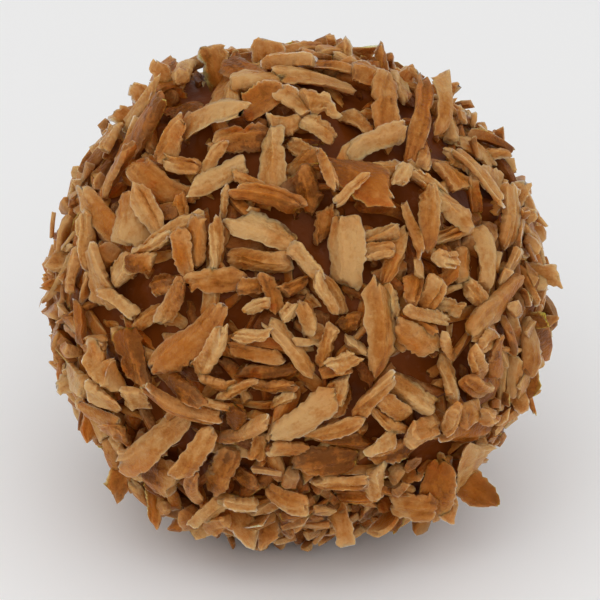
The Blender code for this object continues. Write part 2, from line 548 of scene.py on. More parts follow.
class Bed:
    """The height of the coat, over a lattice of directions round the ball."""

    LATTICE = 26000
    FRONTAL = 0.9                   # cosine limit of the cap that one piece can touch
    MAX_SLOPE = 0.42
    SLOPES = 9
    FINEST = 0.32                   # mm, more than the lattice's own spacing
    BARE_WEIGHT = 3.2               # of a bare place's points against those of a large flake

    def __init__(self, ball: Ball) -> None:
        """Starts from the bare chocolate.

        Args:
            ball: The ball.
        """
        steps = np.arange(self.LATTICE) + 0.5
        height = 1.0 - 2.0 * steps / self.LATTICE
        reach = np.sqrt(1.0 - height * height)
        angle = steps * math.pi * (3.0 - math.sqrt(5.0))
        self.directions = np.stack([reach * np.cos(angle), reach * np.sin(angle), height], axis=1)
        self.bare = ball.radii(self.directions)
        self.tops = self.bare.copy()
        self.pressed_tops = self.tops
        self.shown = np.zeros(self.LATTICE)
        grid = np.linspace(-self.MAX_SLOPE, self.MAX_SLOPE, self.SLOPES)
        self.pitch, self.roll = (values.ravel() for values in np.meshgrid(grid, grid))

    def keep_bare(self, direction: np.ndarray, reach: float) -> None:
        """Marks a place that no piece may hide.

        Args:
            direction: Its middle.
            reach: Its half width, in radians.
        """
        self.shown[along(self.directions, direction) > math.cos(reach)] = self.BARE_WEIGHT

    def lowest(self, draws: np.ndarray, keep: int, unevenness: float) -> np.ndarray:
        """Picks the places where the coat is lowest out of some random ones, leaving out bare ones.

        Args:
            draws: Even draws, one for each place.
            keep: How many to pick.
            unevenness: Height in mm that the choice is blurred by, for which the draws serve too.

        Returns:
            Their directions, the lowest first.
        """
        spots = (draws * self.LATTICE).astype(int)
        blur = (draws * self.LATTICE - spots) * unevenness + 9.0 * self.shown[spots]
        order = np.argsort(self.tops[spots] - self.bare[spots] + blur)
        return self.directions[spots[order[:keep]]]

    def depths(self, places: np.ndarray) -> np.ndarray:
        """Tells how far under the finished coat each place lies.

        Args:
            places: Places in mm round the ball's centre, one a row.

        Returns:
            Depths in mm.
        """
        tree = kdtree.KDTree(self.LATTICE)
        for number, way in enumerate(self.directions):
            tree.insert(way, number)
        tree.balance()
        reach = np.sqrt((places * places).sum(axis=1))
        spots = [tree.find(way)[1] for way in places / reach[:, None]]
        return self.tops[spots] - reach

    def patch(self, direction: np.ndarray, axis: np.ndarray) -> tuple[np.ndarray, ...]:
        """Lattice points near a place, in that place's own axes.

        Args:
            direction: The place, outward.
            axis: The direction of length there.

        Returns:
            Their numbers, and their outward, lengthwise and sideways shares.
        """
        outward = along(self.directions, direction)
        near = np.nonzero(outward > self.FRONTAL)[0]
        points = self.directions[near]
        side = np.cross(direction, axis)
        return near, outward[near], along(points, axis), along(points, side)

    def fit(self, direction: np.ndarray, axis: np.ndarray, size: Sequence[float]) -> Rest:
        """Finds the slope at which a piece lies lowest.

        Args:
            direction: Its place, as a unit vector.
            axis: Its direction of length, square to the first.
            size: Its length, width and thickness in mm.

        Returns:
            How it rests.
        """
        near, outward, forth, across = self.patch(direction, axis)
        top = self.tops[near]
        under = ((np.abs(forth) * top < max(size[0] * 0.46, self.FINEST))
                 & (np.abs(across) * top < max(size[1] * 0.40, self.FINEST)))
        rise = (outward * top)[under]
        forth, across = (forth * top)[under], (across * top)[under]
        need = (rise - self.pitch[:, None] * forth - self.roll[:, None] * across).max(axis=1)
        best = int(np.argmin(need + 0.25 * (self.pitch ** 2 + self.roll ** 2)))
        return Rest(float(need[best]), float(self.pitch[best]), float(self.roll[best]),
                    float(self.shown[near[under]].mean()))

    def lay(self, direction: np.ndarray, axis: np.ndarray, size: Sequence[float], sink: float,
            lift: float = 0.0, edge: float = 0.0, show: bool = False) -> tuple[np.ndarray, np.ndarray]:
        """Rests a piece on the bed and raises the bed by it.

        Args:
            direction: Its place, as a unit vector.
            axis: Its direction of length, square to the first.
            size: Its length, width and thickness in mm.
            sink: How far it is pressed in.
            lift: Angle that its far end is raised by, radians.
            edge: Angle that it is rolled onto its edge by, radians.
            show: Marks it as a piece that no later one may hide.

        Returns:
            Its middle, and its axes as rows: length, width, outward.
        """
        length, width, thick = size
        base, pitch, roll, _ = self.fit(direction, axis, size)
        base -= sink
        if lift:
            pitch += math.tan(lift)
            base += abs(math.tan(lift)) * length * 0.42
        side = np.cross(direction, axis)
        long = unit(axis + pitch * direction)
        out = unit(direction - pitch * axis - roll * side)
        wide = unit(np.cross(out, long))
        out = np.cross(long, wide)
        stand = 0.5 * width * abs(math.sin(edge)) * 0.75
        middle = direction * (base + 0.5 * thick + stand)
        if edge:
            wide, out = (wide * math.cos(edge) + out * math.sin(edge),
                         out * math.cos(edge) - wide * math.sin(edge))
        near, outward, forth, across = self.patch(direction, axis)
        plane = outward - pitch * forth - roll * across
        narrow = abs(math.cos(edge))
        top = self.tops[near]
        cover = ((np.abs(forth) * top < length * 0.5) & (np.abs(across) * top < width * 0.42 * narrow)
                 & (plane > 0.3))
        touched = near[cover]
        self.tops[touched] = np.maximum(self.tops[touched], (base + thick + stand) / plane[cover])
        if show:
            self.shown[touched] = np.maximum(self.shown[touched], 1.0)
        return middle, np.stack([long, wide, out])


class Feature(NamedTuple):
    """A flake of the front, placed and sized as seen from there."""

    across: float                   # share of the radius, to the right
    up: float                       # share of the radius, upwards
    turn: float                     # degrees of its length, anticlockwise from the right
    length: float                   # mm
    width: float                    # mm
    tone: Tone
    toast: float = 0.0
    tips: tuple[float, float] = (0.6, 0.6)
    cut: Cut = Cut.CHIP


class Gap(NamedTuple):
    """A place of the front where the chocolate stays bare."""

    across: float                   # share of the radius, to the right
    up: float                       # share of the radius, upwards
    reach: float                    # its half width, radians round the ball


class RimFlake(NamedTuple):
    """A flake that stands out from the outline seen from the front."""

    angle: float                    # degrees round the outline, anticlockwise from the right
    toward: float                   # degrees that its root lies towards the viewer
    lean: float                     # degrees from standing straight out, positive anticlockwise
    length: float                   # mm, its whole length
    width: float                    # mm at the root
    tip: float                      # width at the tip as a share of the root's
    tone: Tone
    toast: float = 0.0


PALE, TAN, GOLDEN, ORANGE, BROWN = Tone
SLIVER, CHIP, CHUNK, SHRED, CRUMB = Cut

FEATURES = (
    # upper left
    Feature(-0.47, 0.77, -22, 2.0, 1.4, BROWN),
    Feature(-0.22, 0.63, 15, 3.0, 1.6, ORANGE),
    Feature(-0.30, 0.87, 70, 2.3, 1.5, GOLDEN),
    Feature(-0.20, 0.90, -15, 2.4, 1.3, ORANGE),
    Feature(-0.52, 0.85, 112, 3.2, 2.1, ORANGE, 0.6, (1.0, 0.2)),
    Feature(-0.44, 0.86, 72, 1.7, 0.9, PALE, 0.0, (0.6, 0.8), CHUNK),
    Feature(-0.61, 0.74, 25, 3.2, 1.0, TAN, 0.0, (0.7, 0.5), SLIVER),
    Feature(-0.62, 0.65, 30, 5.2, 1.5, ORANGE, 0.3, (0.4, 0.8)),
    Feature(-0.75, 0.62, 70, 1.7, 1.2, TAN, 0.0, (0.7, 0.7), CHUNK),
    Feature(-0.59, 0.54, -10, 2.4, 1.2, ORANGE, 0.5, (0.7, 0.6)),
    Feature(-0.56, 0.45, -34, 3.2, 1.8, GOLDEN, 0.4, (0.9, 0.5)),
    Feature(-0.71, 0.49, 33, 3.6, 1.1, GOLDEN, 0.1, (0.6, 0.7)),
    Feature(-0.79, 0.30, 122, 4.3, 1.3, GOLDEN, 0.8, (0.5, 0.5)),
    Feature(-0.67, 0.30, 80, 3.1, 1.9, TAN, 0.3, (0.3, 0.8)),
    Feature(-0.58, 0.33, 110, 3.3, 1.4, TAN, 0.2, (0.6, 0.3)),
    Feature(-0.48, 0.35, 95, 1.7, 0.9, GOLDEN, 0.7, (0.7, 0.6), CHUNK),
    Feature(-0.52, 0.24, 33, 4.6, 0.9, GOLDEN, 0.0, (0.5, 0.5), SLIVER),
    Feature(-0.57, 0.19, 28, 2.8, 0.7, TAN, 0.0, (0.6, 0.5), SHRED),
    Feature(-0.27, 0.79, 82, 2.0, 1.0, TAN, 0.0, (0.8, 0.6)),
    Feature(-0.15, 0.84, 4, 3.2, 1.3, TAN, 0.0, (0.6, 0.7)),
    Feature(-0.13, 0.77, 18, 2.9, 1.5, ORANGE, 0.7, (0.6, 0.5)),
    Feature(-0.33, 0.68, 5, 4.3, 1.6, PALE, 0.5, (0.9, 0.4)),
    Feature(-0.34, 0.54, 42, 2.7, 0.9, TAN, 0.0, (0.9, 0.5), SLIVER),
    Feature(-0.32, 0.48, 30, 3.7, 1.2, PALE, 0.0, (0.5, 0.9), SLIVER),
    Feature(-0.49, 0.60, 48, 2.8, 1.1, GOLDEN, 0.4, (0.8, 0.6), SLIVER),
    Feature(-0.46, 0.51, -12, 2.1, 1.0, GOLDEN, 0.1, (0.6, 0.8), CHUNK),
    # top
    Feature(-0.07, 0.95, -35, 2.6, 1.6, GOLDEN, 0.3),
    Feature(0.13, 0.92, -10, 3.2, 1.0, ORANGE, 0.4, (0.6, 0.5), SLIVER),
    Feature(-0.02, 0.91, 5, 2.9, 0.8, TAN, 0.0, (0.6, 0.6), SLIVER),
    Feature(0.07, 0.87, 0, 5.0, 1.3, TAN, 0.1, (0.6, 0.8)),
    Feature(0.30, 0.86, -20, 2.6, 1.3, GOLDEN),
    Feature(0.00, 0.75, -18, 2.5, 1.1, TAN, 0.0, (0.7, 0.6)),
    Feature(-0.05, 0.69, -5, 1.9, 1.1, TAN, 0.0, (0.7, 0.7), CHUNK),
    Feature(0.09, 0.73, -8, 2.0, 1.1, TAN, 0.0, (0.8, 0.6), CHUNK),
    Feature(0.09, 0.67, -25, 2.2, 1.1, TAN, 0.0, (0.6, 0.8)),
    Feature(0.04, 0.61, -20, 2.2, 1.0, TAN, 0.0, (0.6, 0.7)),
    Feature(0.02, 0.55, 35, 2.2, 1.2, GOLDEN, 0.2, (0.6, 0.7)),
    Feature(-0.09, 0.53, 88, 4.2, 1.9, TAN, 0.1, (0.7, 0.7)),
    # upper right
    Feature(0.26, 0.74, -52, 2.2, 0.8, GOLDEN, 0.2, (0.4, 0.8), SLIVER),
    Feature(0.35, 0.76, 102, 2.7, 1.5, GOLDEN, 0.3, (0.6, 0.8)),
    Feature(0.43, 0.85, 112, 2.3, 0.8, PALE, 0.0, (0.4, 0.8), SLIVER),
    Feature(0.53, 0.60, 85, 2.4, 0.9, GOLDEN, 0.0, (0.9, 0.5), SLIVER),
    Feature(0.49, 0.70, 88, 4.2, 1.1, ORANGE, 0.5, (0.5, 0.6), SLIVER),
    Feature(0.65, 0.72, 120, 2.2, 0.9, TAN, 0.0, (0.6, 0.6), SLIVER),
    Feature(0.57, 0.74, 112, 3.0, 1.2, TAN, 0.0, (0.6, 0.7)),
    Feature(0.77, 0.61, -38, 2.8, 1.1, TAN, 0.0, (0.7, 0.5)),
    Feature(0.73, 0.56, -22, 2.6, 1.1, PALE, 0.0, (0.8, 0.3)),
    Feature(0.32, 0.62, 15, 3.7, 1.4, PALE, 0.2, (0.6, 0.6)),
    Feature(0.25, 0.44, -38, 4.6, 3.0, BROWN, 0.6, (0.8, 0.3)),
    Feature(0.04, 0.42, 120, 2.3, 1.5, BROWN, 0.2, (0.8, 0.6), CHUNK),
    Feature(0.11, 0.29, 80, 2.0, 1.2, ORANGE, 0.2, (0.6, 0.8)),
    Feature(0.11, 0.46, 110, 3.0, 0.8, GOLDEN, 0.4, (0.6, 0.6), SLIVER),
    Feature(0.20, 0.38, 40, 2.6, 0.7, TAN, 0.2, (0.8, 0.2), SLIVER),
    Feature(0.39, 0.52, 5, 1.9, 1.0, TAN, 0.2, (0.6, 0.8), CHUNK),
    Feature(0.40, 0.45, 60, 1.5, 1.1, PALE, 0.0, (0.6, 0.9), CHUNK),
    Feature(0.54, 0.45, -42, 2.4, 0.8, TAN, 0.0, (0.7, 0.6), SLIVER),
    Feature(0.81, 0.49, -20, 2.4, 1.2, TAN, 0.0, (0.6, 0.8)),
    Feature(0.65, 0.49, -45, 2.4, 1.2, GOLDEN, 0.7, (0.8, 0.4)),
    Feature(0.74, 0.40, -65, 2.0, 0.6, ORANGE, 0.3, (0.6, 0.4), SLIVER),
    Feature(0.73, 0.47, -60, 4.2, 0.9, TAN, 0.0, (0.7, 0.5), SLIVER),
    Feature(0.64, 0.25, 20, 2.1, 1.0, GOLDEN, 0.2, (0.8, 0.7), CHUNK),
    Feature(0.62, 0.33, -52, 2.9, 1.3, TAN, 0.0, (0.6, 0.7)),
    # middle
    Feature(-0.20, 0.46, -28, 2.0, 0.8, GOLDEN, 0.0, (0.6, 0.4), SLIVER),
    Feature(-0.12, 0.38, -18, 4.5, 1.2, ORANGE, 0.5, (0.8, 0.5), SLIVER),
    Feature(-0.30, 0.38, 75, 1.7, 0.5, TAN, 0.0, (0.6, 0.4), SHRED),
    Feature(-0.33, 0.20, 86, 3.1, 0.9, TAN, 0.0, (0.8, 0.6), SLIVER),
    Feature(-0.40, 0.21, 80, 3.1, 1.1, GOLDEN, 0.5, (0.5, 0.7)),
    Feature(-0.45, 0.16, 94, 2.9, 1.3, TAN, 1.0, (0.5, 0.6)),
    Feature(-0.16, 0.14, -8, 3.8, 1.5, GOLDEN, 0.2, (0.7, 0.8)),
    Feature(-0.15, 0.25, -20, 4.4, 1.9, PALE, 0.0, (0.3, 0.6)),
    Feature(0.16, 0.00, -60, 2.6, 0.7, GOLDEN, 0.0, (0.5, 0.7), SLIVER),
    Feature(0.25, 0.01, -25, 1.9, 0.8, BROWN, 0.0, (0.6, 0.6), SLIVER),
    Feature(0.04, 0.12, -45, 2.8, 1.0, PALE, 0.0, (0.9, 0.7), SLIVER),
    Feature(0.11, 0.00, -60, 2.8, 0.8, TAN, 0.0, (0.8, 0.7), SLIVER),
    Feature(-0.33, 0.05, 3, 3.3, 1.5, GOLDEN, 0.4, (0.8, 0.6)),
    Feature(-0.18, 0.03, 5, 1.7, 1.1, ORANGE),
    Feature(-0.01, 0.03, 25, 1.8, 0.9, ORANGE, 0.0, (0.7, 0.5), CHUNK),
    Feature(-0.10, 0.00, -75, 2.4, 1.0, ORANGE, 0.3, (0.9, 0.6)),
    Feature(-0.15, -0.05, 22, 1.6, 0.9, PALE, 0.0, (0.7, 0.7), CHUNK),
    Feature(-0.03, -0.07, 40, 1.3, 1.1, PALE, 0.0, (0.8, 0.7), CHUNK),
    Feature(0.05, -0.02, -48, 1.6, 0.8, TAN, 0.0, (0.7, 0.7), CHUNK),
    Feature(0.04, -0.10, 105, 2.3, 1.2, TAN, 0.1, (0.6, 0.5)),
    Feature(0.40, 0.15, 70, 3.4, 1.2, GOLDEN, 0.3, (0.5, 0.3)),
    Feature(0.32, 0.17, 8, 2.1, 1.1, TAN, 0.3, (0.9, 0.7), CHUNK),
    Feature(0.34, 0.24, 16, 2.2, 0.9, TAN, 0.0, (0.7, 0.6), CHUNK),
    Feature(0.20, 0.17, 95, 4.1, 2.2, PALE, 0.1, (0.9, 0.8)),
    Feature(0.38, -0.03, 95, 2.0, 1.0, PALE, 0.0, (0.8, 0.6), CHUNK),
    # right
    Feature(0.46, 0.26, 102, 3.4, 0.8, GOLDEN, 0.1, (0.5, 0.7), SLIVER),
    Feature(0.52, 0.30, 88, 4.0, 1.2, GOLDEN, 0.1, (0.5, 0.4)),
    Feature(0.55, 0.13, -8, 1.2, 1.1, TAN, 0.0, (0.8, 0.9), CHUNK),
    Feature(0.86, 0.31, 100, 3.6, 1.2, TAN, 0.1, (0.5, 0.5)),
    Feature(0.79, 0.15, 97, 3.7, 1.4, PALE, 0.0, (0.5, 0.8)),
    Feature(0.89, 0.11, 82, 2.4, 1.1, TAN, 0.0, (0.6, 0.7)),
    Feature(0.70, 0.12, 95, 2.1, 1.2, GOLDEN, 0.3, (0.7, 0.6)),
    Feature(0.62, 0.14, 100, 2.0, 1.0, BROWN),
    Feature(0.60, 0.06, 50, 1.9, 0.9, ORANGE, 0.7),
    Feature(0.46, 0.02, 75, 1.9, 1.2, ORANGE, 0.4, (0.8, 0.6), CHUNK),
    Feature(0.54, 0.00, 82, 2.1, 1.3, GOLDEN, 0.3, (0.8, 0.7), CHUNK),
    Feature(0.66, -0.06, -25, 1.3, 1.0, TAN, 0.0, (0.7, 0.8), CHUNK),
    Feature(0.74, 0.00, -38, 1.5, 1.0, TAN, 0.0, (0.9, 0.4), CHUNK),
    Feature(0.82, -0.05, 43, 4.4, 1.2, GOLDEN, 0.5, (0.6, 0.5), SLIVER),
    Feature(0.75, -0.19, 25, 1.5, 1.2, TAN, 0.3, (0.8, 0.8), CHUNK),
    # left
    Feature(-0.71, 0.10, 35, 1.9, 1.3, TAN, 0.0, (0.7, 0.5), CHUNK),
    Feature(-0.61, 0.12, 10, 1.5, 1.2, ORANGE, 0.5, (0.8, 0.7), CHUNK),
    Feature(-0.56, 0.04, 10, 2.0, 1.4, ORANGE, 0.3, (0.7, 0.7), CHUNK),
    Feature(-0.86, 0.21, 86, 3.2, 0.9, TAN, 0.0, (0.6, 0.6), SLIVER),
    Feature(-0.91, 0.09, 80, 2.4, 1.3, GOLDEN, 0.3, (0.6, 0.5)),
    Feature(-0.81, 0.07, 82, 3.7, 1.6, TAN, 0.2, (0.7, 0.4)),
    Feature(-0.74, -0.04, -42, 2.2, 0.9, TAN, 0.0, (0.5, 0.8), SLIVER),
    Feature(-0.63, -0.10, 28, 2.0, 1.0, GOLDEN, 0.2, (0.6, 0.7)),
    Feature(-0.50, -0.04, 52, 3.3, 1.4, GOLDEN, 0.1, (0.8, 0.6)),
    Feature(-0.84, -0.21, 12, 2.5, 1.1, GOLDEN, 0.2),
    Feature(-0.67, -0.26, 107, 3.5, 1.8, BROWN, 0.3, (0.7, 0.6)),
    Feature(-0.77, -0.29, -48, 2.3, 1.5, TAN, 0.0, (0.7, 0.6), CHUNK),
    Feature(-0.65, -0.42, 80, 1.5, 1.4, TAN, 0.0, (0.9, 0.8), CHUNK),
    Feature(-0.82, -0.40, -40, 1.8, 1.1, GOLDEN, 0.6, (0.7, 0.7), CHUNK),
    Feature(-0.89, -0.36, -30, 2.4, 1.3, PALE, 0.0, (0.8, 0.7), CHUNK),
    Feature(-0.74, -0.41, -48, 2.1, 1.4, TAN, 0.1, (0.8, 0.7), CHUNK),
    Feature(-0.77, -0.47, -28, 2.5, 1.0, GOLDEN, 0.2),
    # lower middle
    Feature(-0.42, -0.18, 42, 6.1, 2.4, GOLDEN, 0.6, (0.7, 0.5)),
    Feature(-0.32, -0.22, 56, 4.2, 1.3, TAN, 0.0, (0.8, 0.6), SLIVER),
    Feature(-0.17, -0.16, 2, 2.2, 0.9, TAN, 0.0, (0.6, 0.8), SLIVER),
    Feature(-0.17, -0.24, -16, 3.4, 1.1, GOLDEN, 0.4, (0.8, 0.2)),
    Feature(-0.02, -0.22, -52, 4.2, 1.2, TAN, 0.2, (0.8, 0.6), SLIVER),
    Feature(-0.12, -0.33, 5, 3.6, 1.1, BROWN, 0.0, (0.6, 0.5), SHRED),
    Feature(-0.30, -0.35, -20, 2.5, 1.1, ORANGE, 0.0, (0.7, 0.6), SHRED),
    Feature(-0.10, -0.38, 10, 3.2, 0.9, ORANGE, 0.0, (0.6, 0.5), SHRED),
    Feature(-0.23, -0.37, 30, 2.6, 0.8, GOLDEN, 0.0, (0.5, 0.7), SHRED),
    Feature(-0.30, -0.44, -20, 2.6, 0.7, GOLDEN, 0.1, (0.5, 0.2), SLIVER),
    Feature(-0.06, -0.43, 38, 1.9, 0.7, TAN, 0.0, (0.5, 0.5), SLIVER),
    Feature(-0.42, -0.37, -25, 2.8, 1.2, BROWN),
    Feature(-0.44, -0.43, -35, 4.8, 1.2, ORANGE, 0.6, (0.6, 0.6), SLIVER),
    Feature(-0.24, -0.50, 80, 1.8, 1.3, BROWN),
    Feature(0.12, -0.22, 75, 2.8, 1.0, GOLDEN, 0.0, (0.3, 0.9), SLIVER),
    Feature(0.23, -0.13, 20, 1.3, 1.1, BROWN, 0.3, (0.8, 0.8), CHUNK),
    Feature(0.24, -0.22, -35, 1.5, 0.8, PALE, 0.0, (0.6, 0.8), CHUNK),
    Feature(0.16, -0.32, 15, 1.9, 1.0, ORANGE, 0.3, (0.7, 0.7), CHUNK),
    Feature(0.18, -0.27, 20, 1.9, 1.2, TAN, 0.0, (0.6, 0.7), CHUNK),
    Feature(0.33, -0.14, 90, 5.8, 1.9, GOLDEN, 0.1, (0.3, 0.4)),
    Feature(0.48, -0.12, -20, 2.8, 0.8, BROWN, 0.5, (0.6, 0.6), SLIVER),
    Feature(0.48, -0.18, -35, 3.1, 1.7, TAN, 0.8, (0.5, 0.7)),
    Feature(0.52, -0.09, -12, 3.3, 1.0, TAN, 0.0, (0.6, 0.6), SLIVER),
    Feature(0.19, -0.45, 65, 2.0, 1.0, ORANGE, 0.2, (0.7, 0.7), CHUNK),
    Feature(0.16, -0.41, 70, 1.9, 1.2, TAN, 0.0, (0.5, 0.8), CHUNK),
    Feature(0.30, -0.40, 58, 3.7, 1.0, GOLDEN, 0.0, (0.6, 0.6), SLIVER),
    # lower right
    Feature(0.48, -0.42, -28, 2.7, 1.6, TAN, 0.0, (0.6, 0.7)),
    Feature(0.39, -0.46, -38, 2.7, 1.3, GOLDEN, 0.3, (0.6, 0.7)),
    Feature(0.37, -0.52, -38, 3.0, 0.8, GOLDEN, 0.0, (0.5, 0.6), SLIVER),
    Feature(0.50, -0.55, 10, 1.9, 1.5, TAN, 0.4, (0.8, 0.7), CHUNK),
    Feature(0.60, -0.21, -55, 1.9, 0.9, GOLDEN),
    Feature(0.62, -0.35, 97, 2.5, 1.0, TAN, 0.0, (0.7, 0.4), SLIVER),
    Feature(0.59, -0.48, 97, 2.5, 1.0, GOLDEN, 0.2, (0.6, 0.6), SLIVER),
    Feature(0.70, -0.28, -55, 2.6, 1.1, GOLDEN),
    Feature(0.80, -0.25, 88, 2.6, 1.1, ORANGE),
    Feature(0.80, -0.39, 25, 2.2, 1.4, BROWN, 0.3, (0.7, 0.6)),
    Feature(0.71, -0.37, -28, 2.2, 1.4, GOLDEN, 0.4, (0.7, 0.5)),
    Feature(0.66, -0.46, 10, 1.4, 1.2, GOLDEN, 0.0, (0.8, 0.8), CHUNK),
    Feature(0.73, -0.47, -15, 1.3, 1.0, GOLDEN, 0.0, (0.8, 0.4), CHUNK),
    Feature(0.69, -0.57, 12, 2.8, 1.5, ORANGE, 0.7, (0.7, 0.6)),
    Feature(0.55, -0.79, 62, 3.0, 1.7, ORANGE, 0.6, (0.5, 0.7)),
    Feature(0.68, -0.69, 72, 2.8, 1.8, TAN, 0.2, (0.8, 0.6)),
    Feature(0.46, -0.84, 20, 2.6, 1.5, GOLDEN, 0.2),
    Feature(0.27, -0.86, 8, 2.9, 0.8, ORANGE, 0.5, (0.6, 0.6), SLIVER),
    Feature(0.19, -0.61, -2, 3.4, 0.9, BROWN, 0.1, (0.6, 0.6), SLIVER),
    Feature(0.12, -0.69, 10, 3.6, 1.6, BROWN),
    Feature(0.20, -0.79, -5, 2.3, 1.0, ORANGE, 0.1),
    Feature(0.18, -0.74, 20, 3.3, 0.8, GOLDEN, 0.0, (0.4, 0.9), SLIVER),
    Feature(0.14, -0.55, 17, 4.1, 1.0, GOLDEN, 0.1, (0.5, 0.6), SLIVER),
    Feature(0.40, -0.66, 4, 2.6, 1.0, ORANGE, 0.0, (0.6, 0.6)),
    Feature(0.34, -0.60, 15, 1.7, 1.1, TAN, 0.0, (0.6, 0.8), CHUNK),
    Feature(0.32, -0.75, 88, 1.6, 1.3, TAN, 0.0, (0.9, 0.8), CHUNK),
    # lower left
    Feature(0.03, -0.48, 33, 4.6, 1.8, PALE, 0.1, (0.5, 0.7)),
    Feature(-0.04, -0.63, -15, 2.1, 1.1, GOLDEN, 0.2),
    Feature(-0.04, -0.83, -8, 2.8, 1.4, GOLDEN, 0.3),
    Feature(-0.20, -0.55, 36, 4.2, 1.1, GOLDEN, 0.2, (0.7, 0.6), SLIVER),
    Feature(-0.16, -0.64, 70, 1.3, 1.1, GOLDEN, 0.3, (0.8, 0.8), CHUNK),
    Feature(-0.22, -0.78, -10, 1.9, 0.9, BROWN),
    Feature(-0.31, -0.73, 60, 2.4, 1.7, ORANGE, 0.0, (0.7, 0.8)),
    Feature(-0.40, -0.76, 85, 3.1, 1.1, GOLDEN, 0.0, (0.7, 0.6)),
    Feature(-0.34, -0.85, 30, 2.3, 1.0, TAN, 0.0, (0.8, 0.6)),
    Feature(-0.23, -0.84, -18, 2.1, 0.8, TAN, 0.0, (0.7, 0.5), SLIVER),
    Feature(-0.31, -0.90, 28, 1.8, 0.8, GOLDEN, 0.0, (0.7, 0.6), SLIVER),
    Feature(-0.38, -0.60, 52, 3.0, 1.5, GOLDEN, 0.0, (0.8, 0.6)),
    Feature(-0.55, -0.74, -15, 2.1, 1.8, ORANGE, 0.0, (0.6, 0.8), CHUNK),
    Feature(-0.71, -0.56, 75, 2.2, 1.2, GOLDEN, 0.1, (0.6, 0.7)),
    Feature(-0.57, -0.60, 32, 4.4, 1.9, TAN, 0.7, (0.7, 0.6)),
)

GAPS = (
    Gap(-0.38, 0.82, 0.055), Gap(-0.42, 0.58, 0.040), Gap(-0.53, 0.63, 0.030), Gap(-0.19, 0.50, 0.040),
    Gap(-0.17, 0.56, 0.030), Gap(-0.40, 0.37, 0.035), Gap(-0.45, 0.45, 0.030), Gap(0.19, 0.70, 0.050),
    Gap(0.11, 0.78, 0.045), Gap(0.16, 0.60, 0.040), Gap(0.24, 0.78, 0.030), Gap(0.43, 0.74, 0.040),
    Gap(0.32, 0.57, 0.030), Gap(0.43, 0.58, 0.030), Gap(0.44, 0.40, 0.030), Gap(0.60, 0.62, 0.040),
    Gap(-0.70, 0.38, 0.045), Gap(-0.53, 0.12, 0.035), Gap(-0.74, 0.03, 0.050), Gap(-0.65, 0.00, 0.050),
    Gap(-0.79, 0.53, 0.040), Gap(-0.28, 0.15, 0.030), Gap(-0.07, 0.29, 0.035), Gap(0.04, 0.26, 0.050),
    Gap(0.09, 0.18, 0.030), Gap(-0.41, -0.03, 0.030), Gap(-0.21, -0.08, 0.045), Gap(0.00, 0.09, 0.030),
    Gap(0.23, -0.05, 0.050), Gap(0.30, 0.08, 0.035), Gap(0.28, 0.26, 0.025), Gap(0.42, 0.29, 0.025),
    Gap(0.57, 0.23, 0.035), Gap(0.69, 0.37, 0.045), Gap(0.79, 0.40, 0.030), Gap(0.74, 0.51, 0.030),
    Gap(0.71, -0.04, 0.030), Gap(0.78, -0.03, 0.025), Gap(-0.59, -0.19, 0.035), Gap(-0.70, -0.36, 0.025),
    Gap(-0.79, -0.07, 0.035), Gap(-0.56, -0.44, 0.040), Gap(-0.20, -0.29, 0.030), Gap(-0.06, -0.31, 0.030),
    Gap(0.46, -0.32, 0.045), Gap(0.54, -0.28, 0.045), Gap(0.17, -0.16, 0.030), Gap(0.24, -0.34, 0.030),
    Gap(0.22, -0.39, 0.025), Gap(0.29, -0.52, 0.025), Gap(-0.50, -0.65, 0.030), Gap(-0.23, -0.73, 0.025),
    Gap(0.53, -0.65, 0.045), Gap(0.00, -0.58, 0.030), Gap(0.22, -0.84, 0.030), Gap(-0.34, -0.95, 0.035),
    Gap(0.60, -0.06, 0.025), Gap(0.55, -0.53, 0.025),
)

